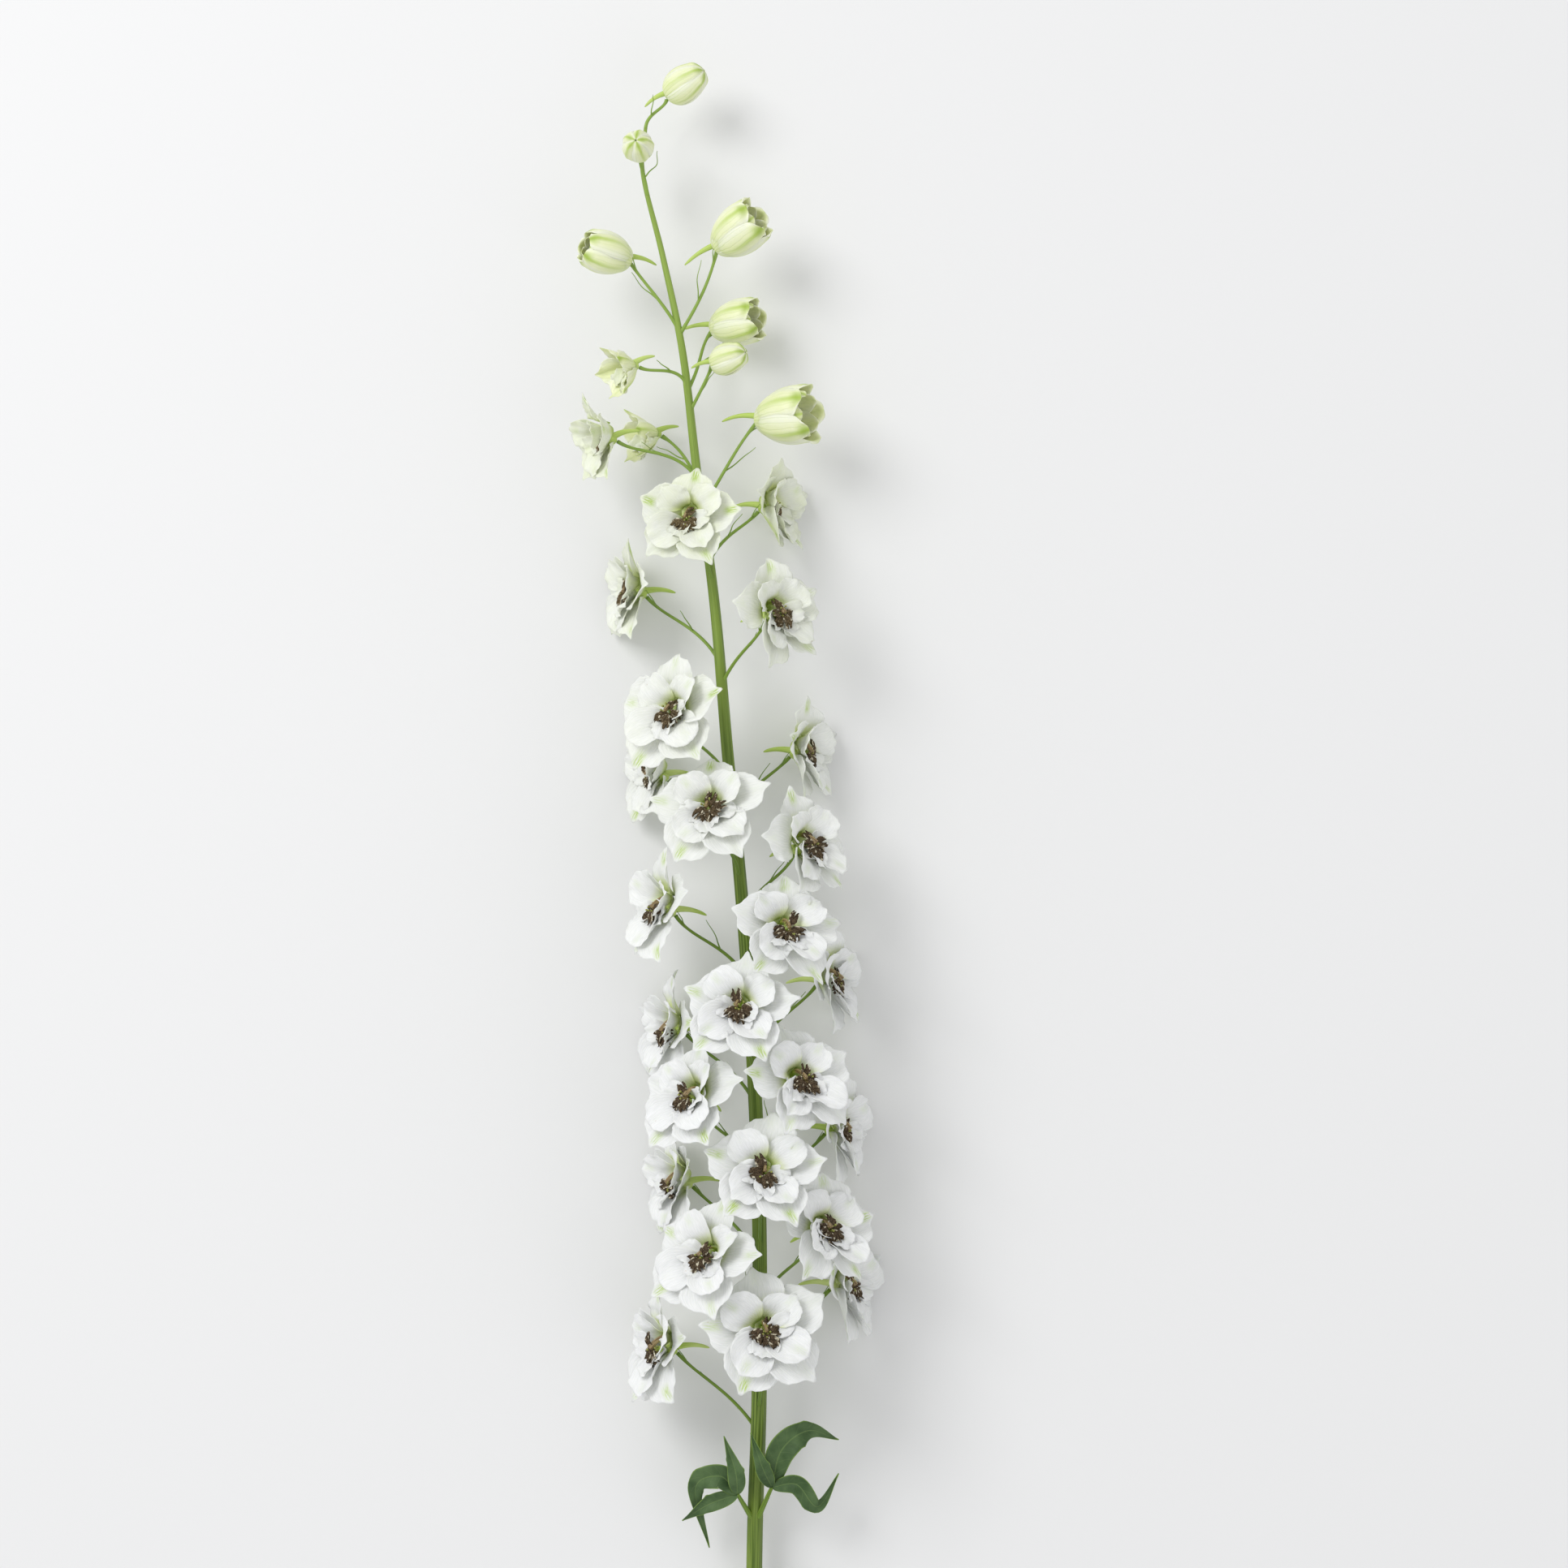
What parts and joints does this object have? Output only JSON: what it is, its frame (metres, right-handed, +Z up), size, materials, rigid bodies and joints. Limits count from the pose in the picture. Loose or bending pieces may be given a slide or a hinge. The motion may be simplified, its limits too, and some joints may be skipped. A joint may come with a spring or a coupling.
{
  "type": "delphinium flower spike",
  "caption": "Cut delphinium spike lying on a surface: a leafy green stem, white semi-double flowers with dark centres and spurs, and pale green buds at the tip.",
  "frame": {"origin": "on the surface the spike lies on, under the middle of its bounding box", "axes": "+Y along the spike from the cut end to the tip bud, +X to the right seen from above, +Z up from the surface"},
  "size_m": [0.167, 0.8932, 0.1087],
  "materials": {
    "petal_white": "matte",
    "eye_brown": "matte",
    "bud_cream": "matte",
    "stem_green": "satin"
  },
  "bodies": {
    "root": {"flower_01_petals": "petal_white", "flower_01_eye": "eye_brown", "flower_02_petals": "petal_white", "flower_02_eye": "eye_brown", "flower_03_petals": "petal_white", "flower_03_eye": "eye_brown", "flower_04_petals": "petal_white", "flower_04_eye": "eye_brown", "flower_05_petals": "petal_white", "flower_05_eye": "eye_brown", "flower_06_petals": "petal_white", "flower_06_eye": "eye_brown", "flower_07_petals": "petal_white", "flower_07_eye": "eye_brown", "flower_08_petals": "petal_white", "flower_08_eye": "eye_brown", "flower_09_petals": "petal_white", "flower_09_eye": "eye_brown", "flower_10_petals": "petal_white", "flower_10_eye": "eye_brown", "flower_11_petals": "petal_white", "flower_11_eye": "eye_brown", "flower_12_petals": "petal_white", "flower_12_eye": "eye_brown", "flower_13_petals": "petal_white", "flower_13_eye": "eye_brown", "flower_14_petals": "petal_white", "flower_14_eye": "eye_brown", "flower_15_petals": "petal_white", "flower_15_eye": "eye_brown", "flower_16_petals": "petal_white", "flower_16_eye": "eye_brown", "flower_17_petals": "petal_white", "flower_17_eye": "eye_brown", "flower_18_petals": "petal_white", "flower_18_eye": "eye_brown", "flower_19_petals": "petal_white", "flower_19_eye": "eye_brown", "flower_20_petals": "petal_white", "flower_20_eye": "eye_brown", "flower_21_petals": "petal_white", "flower_21_eye": "eye_brown", "flower_22_petals": "petal_white", "flower_22_eye": "eye_brown", "flower_23_petals": "petal_white", "flower_23_eye": "eye_brown", "flower_24_petals": "petal_white", "flower_24_eye": "eye_brown", "flower_25_petals": "petal_white", "flower_25_eye": "eye_brown", "bell_1": "bud_cream", "bell_2": "bud_cream", "bell_3": "bud_cream", "bell_4": "bud_cream", "bell_5": "bud_cream", "bell_6": "bud_cream", "bud_1": "bud_cream", "bud_2": "bud_cream", "bud_3": "bud_cream", "stem": "stem_green"}
  },
  "joints": []
}
